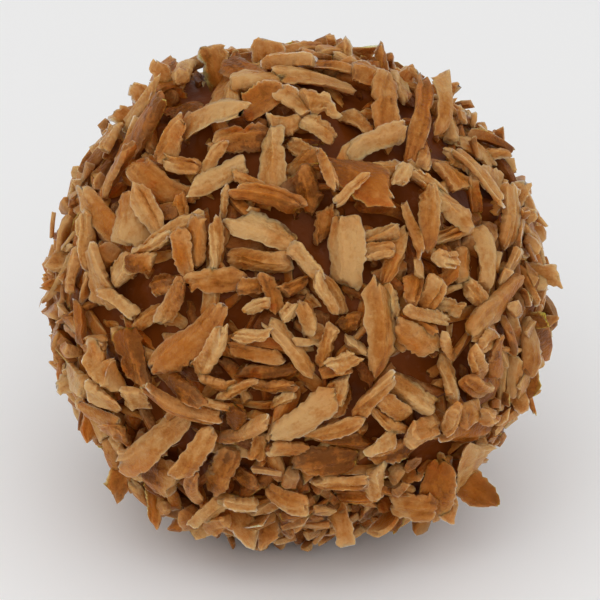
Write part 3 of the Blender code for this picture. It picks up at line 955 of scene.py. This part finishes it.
RIM_FLAKES = (
    RimFlake(5.0, 12.0, -8.0, 3.0, 1.5, 1.25, GOLDEN, 0.5),
    RimFlake(-6.0, 16.0, -8.0, 2.6, 1.3, 0.20, BROWN),
    RimFlake(-13.0, 14.0, -10.0, 2.3, 0.8, 0.60, TAN),
    RimFlake(-17.0, 10.0, -60.0, 3.4, 1.4, 0.30, ORANGE, 0.8),
    RimFlake(-25.0, 14.0, 5.0, 2.5, 1.9, 0.90, GOLDEN, 0.3),
    RimFlake(-47.5, 10.0, 2.0, 4.3, 2.4, 0.30, ORANGE, 0.6),
    RimFlake(-55.0, 14.0, 10.0, 2.8, 1.8, 0.70, GOLDEN, 0.2),
    RimFlake(-67.0, 12.0, -12.0, 2.5, 1.6, 0.15, ORANGE, 0.6),
    RimFlake(-80.0, 24.0, 10.0, 3.6, 1.4, 0.85, GOLDEN, 0.3),
    RimFlake(-97.0, 18.0, 0.0, 2.7, 1.6, 0.70, ORANGE, 0.3),
    RimFlake(-107.0, 20.0, 60.0, 3.7, 1.8, 0.60, GOLDEN, 0.4),
    RimFlake(-112.0, 10.0, -8.0, 2.7, 1.8, 0.50, TAN, 0.1),
    RimFlake(-125.0, 12.0, 34.0, 3.0, 1.0, 0.60, ORANGE, 0.6),
    RimFlake(-135.0, 10.0, 28.0, 3.1, 1.6, 0.60, ORANGE, 0.6),
    RimFlake(-150.0, 16.0, 50.0, 3.1, 1.3, 0.35, ORANGE, 0.9),
    RimFlake(-159.0, 10.0, 0.0, 2.4, 1.6, 0.80, PALE),
    RimFlake(178.0, 14.0, 5.0, 2.7, 0.9, 0.30, ORANGE, 0.5),
    RimFlake(172.0, 14.0, 12.0, 2.5, 1.4, 0.60, TAN),
    RimFlake(165.0, 14.0, -50.0, 2.5, 1.0, 0.25, TAN),
    RimFlake(140.0, 14.0, -20.0, 2.4, 1.3, 0.40, TAN),
    RimFlake(134.0, 14.0, 10.0, 2.6, 1.5, 0.80, GOLDEN, 0.3),
    RimFlake(128.5, 14.0, -8.0, 2.9, 1.5, 0.25, GOLDEN, 0.3),
    RimFlake(121.5, 16.0, -3.0, 3.3, 1.4, 0.15, GOLDEN, 0.5),
    RimFlake(110.0, 16.0, 0.0, 3.0, 2.0, 0.80, ORANGE, 0.5),
    RimFlake(97.0, 14.0, 0.0, 2.6, 2.0, 0.80, GOLDEN, 0.2),
    RimFlake(79.0, 12.0, 10.0, 2.6, 1.3, 0.25, TAN),
    RimFlake(69.5, 12.0, 18.0, 2.9, 1.0, 0.30, ORANGE, 0.3),
    RimFlake(63.0, 14.0, -10.0, 2.4, 1.2, 0.80, GOLDEN),
    RimFlake(57.5, 12.0, -50.0, 3.5, 1.2, 0.70, GOLDEN, 0.4),
    RimFlake(36.0, 12.0, -28.0, 2.8, 0.9, 0.50, TAN),
    RimFlake(23.5, 12.0, 28.0, 2.6, 1.6, 0.50, TAN),
    RimFlake(19.0, 14.0, -5.0, 2.4, 1.2, 0.60, TAN),
)


@dataclass
class Coat:
    """The coat of coconut pieces."""

    ball: Ball
    pressed: int = 980
    scattered: int = 900
    crumbs: int = 1700
    far_gaps: int = 110             # bare places on the sides and the back, out of a ball's full
    seed: int = 20
    tries: int = 16
    unevenness: float = 0.25
    highest: float = 1.8            # mm above the chocolate that no piece may pass
    highest_crumb: float = 1.85
    pressed_sink: float = 0.25
    sink: float = 0.16
    feature_reach: float = 0.985    # of the given shares, since the pieces lie out on the coat
    seen_radius: float = 14.9       # mm, the full share of a gap, whose line of sight stays clear
    feature_lift: float = 0.12      # radians, at most
    feature_roll: float = 0.22      # radians, at most
    most_stretch: float = 1.5       # of a piece near the rim, against foreshortening
    rim_root: float = 1.3
    rim_height: float = 1.05
    rim_thickness: float = 0.34
    shares: tuple[tuple[Cut, float], ...] = (
        (Cut.SLIVER, 0.54), (Cut.CHIP, 0.11), (Cut.CHUNK, 0.17), (Cut.SHRED, 0.18))
    flakes: list[Flake] = field(default_factory=list)

    def lay_all(self) -> Bed:
        """Lays every layer in order.

        Returns:
            The coat's height.
        """
        rng = np.random.default_rng(self.seed)
        bed = Bed(self.ball)
        for gap in GAPS:
            for radius in np.linspace(self.ball.radius, self.ball.radius + self.highest, 6):
                across, up = (share * self.seen_radius / radius for share in (gap.across, gap.up))
                if math.hypot(across, up) < 0.97:
                    bed.keep_bare(self.ball.seen_at(across, up), gap.reach)
        for _ in range(self.far_gaps):
            direction = self.random_direction(rng.random(), rng.random())
            if float((direction * self.ball.front()[2]).sum()) < 0.3:
                bed.keep_bare(direction, 0.02 + 0.035 * rng.random())
        self.scatter(bed, rng, self.pressed, pressed=True)
        bed.pressed_tops = bed.tops.copy()
        self.lay_features(bed, rng)
        self.scatter(bed, rng, self.scattered, pressed=False)
        self.stand_rim(rng)
        self.sprinkle_crumbs(bed, rng)
        bare = float(((bed.tops - bed.bare) < 0.02).mean())
        LOG.info("coat: %d pieces, %.1f%% of the chocolate left bare", len(self.flakes), 100 * bare)
        return bed

    def pick_cut(self, chance: float) -> Cut:
        """Picks a kind by its share.

        Args:
            chance: A draw from 0 to 1.

        Returns:
            The kind.
        """
        for cut, share in self.shares:
            if chance < share:
                return cut
            chance -= share
        return self.shares[0][0]

    @staticmethod
    def random_direction(first: float, second: float) -> np.ndarray:
        """An even random direction from two draws."""
        height = 2.0 * first - 1.0
        reach = math.sqrt(max(0.0, 1.0 - height * height))
        return np.array([reach * math.cos(math.tau * second), reach * math.sin(math.tau * second), height])

    @staticmethod
    def tangent(direction: np.ndarray, turn: float) -> np.ndarray:
        """A direction along the surface, turned in place by an angle in radians."""
        pole = np.array([0.0, 0.0, 1.0]) if abs(direction[2]) < 0.9 else np.array([1.0, 0.0, 0.0])
        first = unit(np.cross(pole, direction))
        return first * math.cos(turn) + np.cross(direction, first) * math.sin(turn)

    @staticmethod
    def draw_tone(chance: float) -> float:
        """Turns an even draw into a tone: mostly golden, some pale, some brown."""
        return float(np.interp(chance, [0.0, 0.16, 0.40, 0.70, 0.88, 1.0], [0.05, 0.24, 0.46, 0.66, 0.84, 1.0]))

    def scatter(self, bed: Bed, rng: np.random.Generator, count: int, pressed: bool) -> None:
        """Scatters pieces evenly, each in the lowest of a few places.

        Args:
            bed: The coat's height.
            rng: The random numbers.
            count: How many pieces.
            pressed: True for the layer that rolling has pressed into the chocolate.
        """
        for _ in range(count):
            draw = rng.random(16)
            cut = self.pick_cut(draw[0])
            rule = cut.value
            size = tuple(low + (high - low) * share for (low, high), share in
                         zip((rule.length, rule.width, rule.thickness), (draw[1] ** 1.25, draw[2], draw[3])))
            lift = 0.0 if pressed else math.radians(38.0) * max(0.0, draw[4] - 0.55) / 0.45
            edge = 0.0
            if draw[5] > 0.6:
                edge = math.radians(15.0 + 50.0 * draw[6]) * (1 if draw[7] > 0.5 else -1)
            best, most = None, 0.40 if pressed else 0.12
            for place in bed.lowest(rng.random(self.tries), self.tries // 4, self.unevenness):
                ground = float(self.ball.radii(place[None, :])[0])
                for turn in rng.random(2):
                    axis = self.tangent(place, math.tau * turn)
                    rest = bed.fit(place, axis, size)
                    if rest.hides < most and (best is None or rest.base - ground < best[0]):
                        best = rest.base - ground, place, axis
            if best is None or best[0] + size[2] + 0.5 * lift > self.highest:
                continue
            _, place, axis = best
            sink = self.pressed_sink if pressed else self.sink + 0.30 * math.tan(lift) * size[0]
            middle, axes = bed.lay(place, axis, size, sink, lift, edge)
            cocoa = max(0.0, draw[9] * 1.9 - 0.9) if pressed else max(0.0, draw[9] * 6.0 - 5.3)
            toast = max(0.0, draw[10] * 1.5 - 0.5)
            self.flakes.append(Flake(cut, middle, axes, size, self.draw_tone(draw[11]), toast, cocoa))

    def lay_features(self, bed: Bed, rng: np.random.Generator) -> None:
        """Lays the large flakes of the front.

        Args:
            bed: The coat's height.
            rng: The random numbers.
        """
        for item in FEATURES:
            direction = self.ball.seen_at(item.across * self.feature_reach, item.up * self.feature_reach)
            (axis, stretch), (_, widen) = (self.lying(direction, math.radians(item.turn + more))
                                           for more in (0.0, 90.0))
            low, high = item.cut.value.thickness
            size = (item.length * stretch, item.width * widen, low + (high - low) * float(rng.random()))
            lift, edge = float(rng.random()) * self.feature_lift, float(rng.random() * 2.0 - 1.0) * self.feature_roll
            middle, axes = bed.lay(direction, axis, size, 0.16, lift, edge, show=True)
            self.flakes.append(Flake(item.cut, middle, axes, size, item.tone.value, item.toast,
                                     tips=item.tips, large=True))

    def lying(self, direction: np.ndarray, turn: float) -> tuple[np.ndarray, float]:
        """Finds the line along the surface that is seen from the front at a turn.

        Args:
            direction: The place on the surface.
            turn: The angle seen, anticlockwise from the right, radians.

        Returns:
            The line as a unit vector, and how much longer it is than it is seen.
        """
        view = self.ball.front()
        right, up, toward = along(view, direction)
        depth = -(right * math.cos(turn) + up * math.sin(turn)) / max(toward, 0.35)
        line = np.array([math.cos(turn), math.sin(turn), depth]) @ view
        line = line - direction * float((line * direction).sum())
        return unit(line), min(math.hypot(1.0, depth), self.most_stretch)

    def stand_rim(self, rng: np.random.Generator) -> None:
        """Stands the flakes of the outline, their faces towards the viewer.

        Args:
            rng: The random numbers.
        """
        view = self.ball.front()
        for item in RIM_FLAKES:
            around, forward, lean = (math.radians(value) for value in (item.angle, item.toward, item.lean))
            rim = np.array([math.cos(around), math.sin(around), 0.0]) @ view
            direction = rim * math.cos(forward) + view[2] * math.sin(forward)
            long = np.array([math.cos(around + lean), math.sin(around + lean), 0.0]) @ view
            slope = float(rng.random() - 0.5) * 0.5
            out = unit(view[2] + rim * 0.2 + slope * np.cross(view[2], long))
            out = unit(out - long * float((out * long).sum()))
            root = direction * (float(self.ball.radii(direction[None, :])[0]) + self.rim_height)
            middle = root + long * (0.5 * item.length - self.rim_root)
            size = (item.length, item.width, self.rim_thickness)
            self.flakes.append(Flake(Cut.CHIP, middle, np.stack([long, np.cross(out, long), out]), size,
                                     item.tone.value, item.toast, tips=(0.9, item.tip), large=True))

    def sprinkle_crumbs(self, bed: Bed, rng: np.random.Generator) -> None:
        """Lays the crumbs on top, not on the large flakes.

        Args:
            bed: The coat's height.
            rng: The random numbers.
        """
        rule = Cut.CRUMB.value
        for _ in range(self.crumbs):
            draw = rng.random(11)
            size = tuple(low + (high - low) * share for (low, high), share in
                         zip((rule.length, rule.width, rule.thickness), draw[:3]))
            direction = self.random_direction(draw[3], draw[4])
            axis = self.tangent(direction, math.tau * draw[5])
            rest = bed.fit(direction, axis, size)
            if rest.hides > 0.3 or rest.base + size[2] > self.ball.radius + self.highest_crumb:
                continue
            middle, axes = bed.lay(direction, axis, size, 0.14, 0.5 * draw[9] ** 2, 1.2 * draw[10] - 0.6)
            self.flakes.append(Flake(Cut.CRUMB, middle, axes, size, self.draw_tone(draw[6]),
                                     max(0.0, draw[7] - 0.5), max(0.0, draw[8] * 3.0 - 2.3)))

    def build(self, finish: bpy.types.Material, bed: Bed) -> None:
        """Makes one joined mesh for each kind of piece.

        Args:
            finish: The coconut.
            bed: The coat's height.
        """
        names = {Cut.SLIVER: "coconut_slivers", Cut.CHIP: "coconut_chips", Cut.CHUNK: "coconut_chunks",
                 Cut.SHRED: "coconut_shreds", Cut.CRUMB: "coconut_crumbs"}
        fine = FlakeGrid(stations=19, top=9, bottom=5)
        plain = FlakeGrid(stations=8, top=5, bottom=3)
        tiny = FlakeGrid(stations=5, top=3, bottom=3)
        for number, (cut, name) in enumerate(names.items()):
            chosen = [flake for flake in self.flakes if flake.cut is cut and not flake.large]
            grid = tiny if cut is Cut.CRUMB else plain
            mesh = FlakeMesh(name, chosen, grid, bed, self.ball.centre_height, self.seed + number)
            add_piece(name, mesh.build(), finish)
        large = [flake for flake in self.flakes if flake.large]
        mesh = FlakeMesh("coconut_large_flakes", large, fine, bed, self.ball.centre_height, self.seed + 50)
        add_piece("coconut_large_flakes", mesh.build(), finish)


# ---------------------------------------------------------------- flake meshes

@dataclass(frozen=True)
class FlakeGrid:
    """How finely a flake is meshed: stations along it, and columns round its section."""

    stations: int
    top: int
    bottom: int
    shoulder: float = 0.24          # share of the half width over which the top edge is eased
    flank: float = 0.42             # height of the side's upper edge, as a share of the half thickness

    @property
    def columns(self) -> int:
        """Points round one station."""
        return self.top + self.bottom

    def places(self) -> tuple[np.ndarray, np.ndarray, np.ndarray]:
        """Gives each station's place and each column's place round the section.

        Returns:
            Stations from -1 to 1, and columns' places across and in height from -1 to 1.
        """
        middle = np.linspace(-1.0, 1.0, self.stations - 2) * 0.93
        stations = np.concatenate([[-1.0], middle, [1.0]])
        crown = np.linspace(-1.0, 1.0, self.top - 2) * (1.0 - self.shoulder)
        floor = np.linspace(0.86, -0.86, self.bottom)
        across = np.concatenate([[-1.0], crown, [1.0], floor])
        height = np.concatenate([[self.flank], 1.0 - 0.10 * (crown / crown[-1]) ** 2, [self.flank],
                                 0.2 * (floor / floor[0]) ** 4 - 1.0])
        return stations, across, height

    def faces(self) -> list[tuple[int, ...]]:
        """Lists one flake's faces: quads along it, and a cap on each end.

        Returns:
            Vertex numbers, face by face.
        """
        ring = self.columns
        quads = [(row * ring + k, (row + 1) * ring + k, (row + 1) * ring + (k + 1) % ring,
                  row * ring + (k + 1) % ring) for row in range(self.stations - 1) for k in range(ring)]
        last = (self.stations - 1) * ring
        return quads + [tuple(range(ring)), tuple(reversed(range(last, last + ring)))]


@dataclass
class FlakeMesh:
    """All flakes of one kind, as one mesh made from arrays."""

    name: str
    flakes: list[Flake]
    grid: FlakeGrid
    bed: Bed
    centre_height: float
    seed: int
    crisp: float = 60.0             # degrees past which an edge is sharp
    deep: float = 1.0               # mm under the coat's top where the painted shade, partly a chocolate stain, is full

    def __post_init__(self) -> None:
        """Starts the random numbers."""
        self.rng = np.random.default_rng(self.seed)

    def gather(self, pick: Any) -> np.ndarray:
        """One value of every flake, shaped to spread over its stations and columns."""
        return np.array([pick(flake) for flake in self.flakes], float)[:, None, None]

    def rule(self, pick: Any) -> np.ndarray:
        """One value of every flake's rule, shaped likewise."""
        return self.gather(lambda flake: pick(flake.cut.value))

    def spread(self, low: Any, high: Any, *shape: int) -> np.ndarray:
        """Even draws for every flake, one each unless a shape is given."""
        return low + (high - low) * self.rng.random((len(self.flakes),) + (shape or (1, 1)))

    def ripples(self, u: np.ndarray, v: np.ndarray, along_it: float, across_it: float,
                layers: int = 4) -> np.ndarray:
        """A smooth random relief over each flake, mostly within -1 to 1.

        Args:
            u: Places along the flake.
            v: Places across it.
            along_it: The most radians along it from its middle to an end.
            across_it: The most radians across it, likewise.
            layers: How many waves are summed.

        Returns:
            The relief, flake by station by column.
        """
        total = 0.0
        for _ in range(layers):
            total = total + np.sin(self.spread(-along_it, along_it) * u + self.spread(-across_it, across_it) * v
                                   + self.spread(0.0, math.tau))
        return total / math.sqrt(2.0 * layers)

    def side(self, u: np.ndarray, tips: np.ndarray) -> np.ndarray:
        """Half widths along one side: straight runs between four corners, uneven, nicked in some.

        Args:
            u: The stations, from -1 to 1.
            tips: Each flake's width at its two ends.

        Returns:
            Shares of the half width, flake by station by one.
        """
        low, high = (self.rule(lambda rule, i=i: rule.shoulder[i])[:, :, 0] for i in (0, 1))
        corners = np.concatenate([-self.spread(low, high, 1), self.spread(low, high, 1)], axis=1)
        widths = self.spread(0.78, 1.06, 2)
        ends = tips * self.spread(0.75, 1.2, 2)
        runs = np.stack([np.interp(u[0, :, 0], (-1.0, first, last, 1.0), (tail, near, far, tip))
                         for (first, last), (near, far), (tail, tip) in zip(corners, widths, ends)])
        wave = self.rule(lambda rule: rule.wave)
        nick = np.clip(self.spread(-0.6, 0.4), 0.0, 1.0) * np.exp(-((u - self.spread(-0.8, 0.8)) / 0.14) ** 2)
        uneven = self.ripples(u, u * 0.0, 4.0, 0.0, 3) + 0.8 * self.spread(-1.0, 1.0, len(u[0]), 1)
        return runs[:, :, None] * (1.0 + wave * uneven) - nick

    def shape(self) -> tuple[np.ndarray, dict[str, np.ndarray]]:
        """Works out every vertex and what the finish reads there.

        Returns:
            Places in mm, flake by station by column, and the attributes by name.
        """
        spread = self.spread
        stations, across, height = self.grid.places()
        u, v, ring = stations[None, :, None], across[None, None, :], height[None, None, :]
        length, width, thick = (self.gather(lambda flake, i=i: flake.size[i]) for i in range(3))

        low, high = (self.rule(lambda rule, i=i: rule.tips[i])[:, :, 0] for i in (0, 1))
        tips = low + (high - low) * self.rng.random((len(self.flakes), 2))
        for number, flake in enumerate(self.flakes):
            if flake.tips is not None:
                tips[number] = flake.tips
        last = np.abs(u) > 0.98
        sides = [np.maximum(self.side(u, tips), 0.1) * np.where(last, 0.85, 1.0) for _ in range(2)]
        w = v * 0.5 * width * np.where(v < 0, sides[0], sides[1])

        slant = self.rule(lambda rule: rule.slant)
        fray = self.rule(lambda rule: rule.fray)
        lanes = np.clip(np.round((v + 1.0) * 2.5), 0, 5).astype(int)[0, 0]
        ends = spread(-1.0, 1.0, 2, 6)[:, :, lanes]
        ragged = np.where(u > 0, ends[:, 1][:, None, :], ends[:, 0][:, None, :])
        askew = np.where(u > 0, spread(-0.5, 0.5), spread(-0.5, 0.5)) * slant * width / length
        s = 0.5 * length * (u * (1.0 + fray * ragged * np.abs(u) ** 3) + 2.0 * askew * v * np.abs(u) ** 2)

        upper = np.clip(ring, 0.0, 1.0)
        relief = 0.4 * self.ripples(u, v, 5.0, 4.0) + 0.7 * self.ripples(u, v, 2.0, 10.0)
        wedge = 1.0 + spread(-0.65, 0.65) * v + spread(-0.45, 0.45) * u
        h = ring * 0.5 * thick * np.where(last, 0.6, 1.0) * wedge + relief * upper * 0.30 * thick
        settle = length ** 2 / (8.0 * 15.5)
        bow = settle + self.rule(lambda rule: rule.bow) * length * spread(-0.6, 1.0)
        h = h + bow * (0.33 - (u - spread(-0.25, 0.25)) ** 2)
        h = h + spread(-0.05, 0.05) * length * (u ** 3 - 0.6 * u)
        h = h + upper * np.clip(spread(-0.2, 0.35), 0.0, 1.0) * width * (0.5 - np.abs(v - spread(-0.3, 0.3)))
        h = h + spread(-0.16, 0.12) * width * (w / (0.5 * width)) ** 2
        w = w + spread(-0.06, 0.06) * length * (0.33 - u ** 2) + spread(-0.06, 0.06) * length * (u ** 3 - 0.6 * u)
        turn = spread(-1.0, 1.0) * self.rule(lambda rule: rule.twist) * u
        w, h = w * np.cos(turn) - h * np.sin(turn), w * np.sin(turn) + h * np.cos(turn)
        s, w, h = (value + spread(-jitter, jitter, self.grid.stations, self.grid.columns)
                   for value, jitter in zip(np.broadcast_arrays(s, w, h), (0.03, 0.035, 0.025)))

        axes = np.array([flake.axes for flake in self.flakes])
        middle = np.array([flake.middle for flake in self.flakes])
        places = middle[:, None, None, :] + sum(value[..., None] * axes[:, None, None, k, :]
                                                for k, value in enumerate((s, w, h)))
        # depth under the coat's top, which the finish turns into painted shade, partly a chocolate stain
        depth = np.clip(self.bed.depths(places.reshape(-1, 3)) / self.deep, 0.0, 1.0).reshape(places.shape[:3])
        places[..., 2] += self.centre_height
        sunk = np.minimum(places[..., 2].min(axis=(1, 2)), 0.02) - 0.02
        places[..., 2] -= sunk[:, None, None]

        away = ((u - spread(-0.9, 0.9)) / spread(0.45, 1.0)) ** 2 + ((v - spread(-0.8, 0.8)) / 1.2) ** 2
        toast = self.gather(lambda flake: flake.toast) * np.exp(-away)
        seeds = spread(0.0, 50.0)
        full = np.ones_like(s)
        drift = spread(-0.38, 0.38) * u + spread(-0.22, 0.22) * v
        # paler on the relief's ridges and darker in its hollows: painted light and shade
        tone = self.gather(lambda flake: flake.tone) + drift - 0.16 * relief * upper
        look = np.stack([full * tone, full * toast,
                         full * self.gather(lambda flake: flake.cocoa)], axis=-1)
        grain = np.stack([s * 1.0 + seeds, w * 2.8 + seeds * 1.7, h * 2.8 + seeds * 0.6], axis=-1)
        # nearness to the rim, which the finish paints paler: the cut's pale edge and a painted highlight
        edge = full * np.maximum(np.abs(u) ** 5, np.abs(v) ** 5)
        return places, {"grain": grain, "look": look, "edge": edge, "depth": depth}

    def build(self) -> bpy.types.Mesh:
        """Writes the mesh.

        Returns:
            The mesh, in metres.
        """
        places, attributes = self.shape()
        count, per_flake = len(self.flakes), self.grid.stations * self.grid.columns
        faces = self.grid.faces()
        corners = np.array([corner for face in faces for corner in face])
        corners = (corners[None] + (np.arange(count) * per_flake)[:, None]).ravel()
        sizes = np.tile([len(face) for face in faces], count)
        mesh = bpy.data.meshes.new(self.name)
        mesh.vertices.add(count * per_flake)
        mesh.vertices.foreach_set("co", (places * MM).ravel())
        mesh.loops.add(len(corners))
        mesh.loops.foreach_set("vertex_index", corners.astype(np.int32))
        mesh.polygons.add(len(sizes))
        mesh.polygons.foreach_set("loop_start", (np.cumsum(sizes) - sizes).astype(np.int32))
        mesh.update(calc_edges=True)
        for name, values in attributes.items():
            vector = values.ndim == 4
            layer = mesh.attributes.new(name, "FLOAT_VECTOR" if vector else "FLOAT", "POINT")
            layer.data.foreach_set("vector" if vector else "value", values.astype(np.float32).ravel())
        mesh.shade_smooth()
        mesh.set_sharp_from_angle(angle=math.radians(self.crisp))
        return mesh


# ---------------------------------------------------------------- studio

@dataclass(frozen=True)
class Studio:
    """A pale sweep, soft light from above and a long lens, in metres."""

    ball: Ball
    floor_half: float = 3.0
    distance: float = 0.9
    frame_radius: float = 0.016
    frame_share: float = 258.0 / 300.0      # of half the picture that the coat's radius fills
    aim_right: float = 0.0002
    aim_down: float = 0.0004
    key_size: float = 0.22
    key_place: tuple[float, float, float] = (-0.01, -0.18, 0.19)
    key_watts: float = 0.22
    sky: float = 0.77

    def build(self) -> None:
        """Makes the floor, the lights and the camera."""
        self.build_floor()
        self.build_lights()
        self.build_camera()

    def build_floor(self) -> None:
        """The sweep under the truffle."""
        bm = bmesh.new()
        bmesh.ops.create_grid(bm, x_segments=2, y_segments=2, size=self.floor_half)
        mesh = bpy.data.meshes.new("floor")
        bm.to_mesh(mesh)
        bm.free()
        mesh.materials.append(FloorFinish().build())
        floor = bpy.data.objects.new("floor", mesh)
        bpy.context.scene.collection.objects.link(floor)

    def place(self, name: str, data: Any, position: Sequence[float], target: Sequence[float]) -> bpy.types.Object:
        """Links a light or camera and points it at a target.

        Args:
            name: The object's name.
            data: Its data.
            position: Where it stands.
            target: What it looks at.

        Returns:
            The object.
        """
        obj = bpy.data.objects.new(name, data)
        bpy.context.scene.collection.objects.link(obj)
        obj.location = position
        aim = Vector(target) - Vector(position)
        obj.rotation_euler = aim.to_track_quat("-Z", "Y").to_euler()
        return obj

    def build_lights(self) -> None:
        """A white sky and one soft box above, a little to the front and left."""
        world = bpy.data.worlds.new("studio")
        world.use_nodes = True
        background = world.node_tree.nodes["Background"]
        background.inputs["Color"].default_value = (1.0, 1.0, 1.0, 1.0)
        background.inputs["Strength"].default_value = self.sky
        bpy.context.scene.world = world
        key = bpy.data.lights.new("key", "AREA")
        key.size = self.key_size
        key.energy = self.key_watts
        self.place("key", key, self.key_place, (0.0, 0.0, self.ball.centre_height * MM))

    def build_camera(self) -> None:
        """A long lens at the front view's angle."""
        camera = bpy.data.cameras.new("camera")
        camera.clip_start = 0.01
        camera.lens = camera.sensor_width * self.distance * self.frame_share / (2.0 * self.frame_radius)
        right, up, toward = (Vector(axis) for axis in self.ball.front())
        target = Vector((0.0, 0.0, self.ball.centre_height * MM)) + right * self.aim_right - up * self.aim_down
        obj = self.place("camera", camera, target + toward * self.distance, target)
        bpy.context.scene.camera = obj
        bpy.context.scene.view_settings.view_transform = "Standard"


def main() -> None:
    """Builds the truffle and its studio."""
    logging.basicConfig(level=logging.INFO, format="%(name)s: %(message)s")
    ball = Ball()
    coat = Coat(ball)
    bed = coat.lay_all()
    ball.build(ChocolateFinish().build(), bed)
    coat.build(CoconutFinish().build(), bed)
    Studio(ball).build()


if __name__ == "__main__":
    main()
